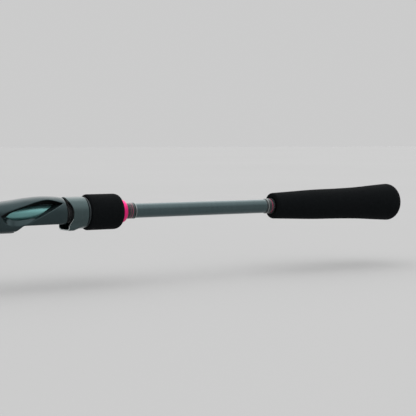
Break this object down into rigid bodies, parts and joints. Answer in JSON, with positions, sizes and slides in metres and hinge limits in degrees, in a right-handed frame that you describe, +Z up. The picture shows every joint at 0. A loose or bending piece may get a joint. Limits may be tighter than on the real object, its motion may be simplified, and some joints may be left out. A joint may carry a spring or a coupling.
{
  "type": "spinning rod",
  "caption": "Two-piece carbon spinning rod with a skeleton reel seat, screw-down sliding hood, foam grips and ringed line guides.",
  "frame": {"origin": "centre of the flat butt end, on the rod's axis", "axes": "+X along the rod, out of the butt, so the tip is at -X; +Z up; the reel's foot and the line guides are on the -Z side, as in use"},
  "size_m": [2.13, 0.0308, 0.0669],
  "materials": {
    "carbon_blank": "gloss",
    "eva_foam": "matte",
    "seat_lacquer": "gloss",
    "hood_metal": "satin",
    "satin_sleeve": "satin",
    "black_nylon": "satin",
    "pink_anodised": "satin",
    "dark_anodised": "satin",
    "bright_trim": "polished",
    "butt_rubber": "matte",
    "guide_metal": "gloss",
    "guide_ceramic": "polished",
    "thread_epoxy": "gloss"
  },
  "bodies": {
    "butt_section": {"butt_blank": "carbon_blank", "butt_cap": "butt_rubber", "core_sleeve": "satin_sleeve", "foregrip": "eva_foam", "foregrip_check": "pink_anodised", "foregrip_rear_check": "pink_anodised", "front_trim_ring": "bright_trim", "front_trim_wrap": "thread_epoxy", "hook_keeper": "guide_metal", "keeper_front_wrap": "thread_epoxy", "keeper_rear_wrap": "thread_epoxy", "rear_grip": "eva_foam", "rear_grip_check": "dark_anodised", "rear_trim_wrap": "thread_epoxy", "reel_seat_body": "seat_lacquer", "stripper_guide_frame": "guide_metal", "stripper_guide_front_wrap": "thread_epoxy", "stripper_guide_rear_wrap": "thread_epoxy", "stripper_guide_ring": "guide_ceramic", "threaded_barrel": "black_nylon"},
    "sliding_hood": {"moving_hood": "hood_metal", "hood_liner": "black_nylon"},
    "nut": {"lock_nut": "black_nylon", "nut_lip_ring": "dark_anodised", "nut_grip": "eva_foam", "nut_end_ring": "pink_anodised"},
    "tip_section": {"tip_blank": "carbon_blank", "ferrule_wrap": "thread_epoxy", "guide_2_frame": "guide_metal", "guide_2_front_wrap": "thread_epoxy", "guide_2_rear_wrap": "thread_epoxy", "guide_2_ring": "guide_ceramic", "guide_3_frame": "guide_metal", "guide_3_ring": "guide_ceramic", "guide_3_wrap": "thread_epoxy", "guide_4_frame": "guide_metal", "guide_4_ring": "guide_ceramic", "guide_4_wrap": "thread_epoxy", "guide_5_frame": "guide_metal", "guide_5_ring": "guide_ceramic", "guide_5_wrap": "thread_epoxy", "guide_6_frame": "guide_metal", "guide_6_ring": "guide_ceramic", "guide_6_wrap": "thread_epoxy", "guide_7_frame": "guide_metal", "guide_7_ring": "guide_ceramic", "guide_7_wrap": "thread_epoxy", "tip_top_frame": "guide_metal", "tip_top_ring": "guide_ceramic", "tip_top_wrap": "thread_epoxy"}
  },
  "joints": [
    {"name": "hood_slide", "type": "slide", "parent": "butt_section", "child": "sliding_hood", "axis": [1, 0, 0], "range_m": [0, 0.012]},
    {"name": "nut_turn", "type": "hinge", "parent": "sliding_hood", "child": "nut", "pos_m": [-0.283, 0, 0], "axis": [1, 0, 0], "range_deg": [0, 2160]},
    {"name": "tip_pull", "type": "slide", "parent": "butt_section", "child": "tip_section", "axis": [-1, 0, 0], "range_m": [0, 0.12]}
  ],
  "couplings": [
    {"joint": "nut_turn", "follows": "hood_slide", "rad_per_m": 3141.6}
  ]
}
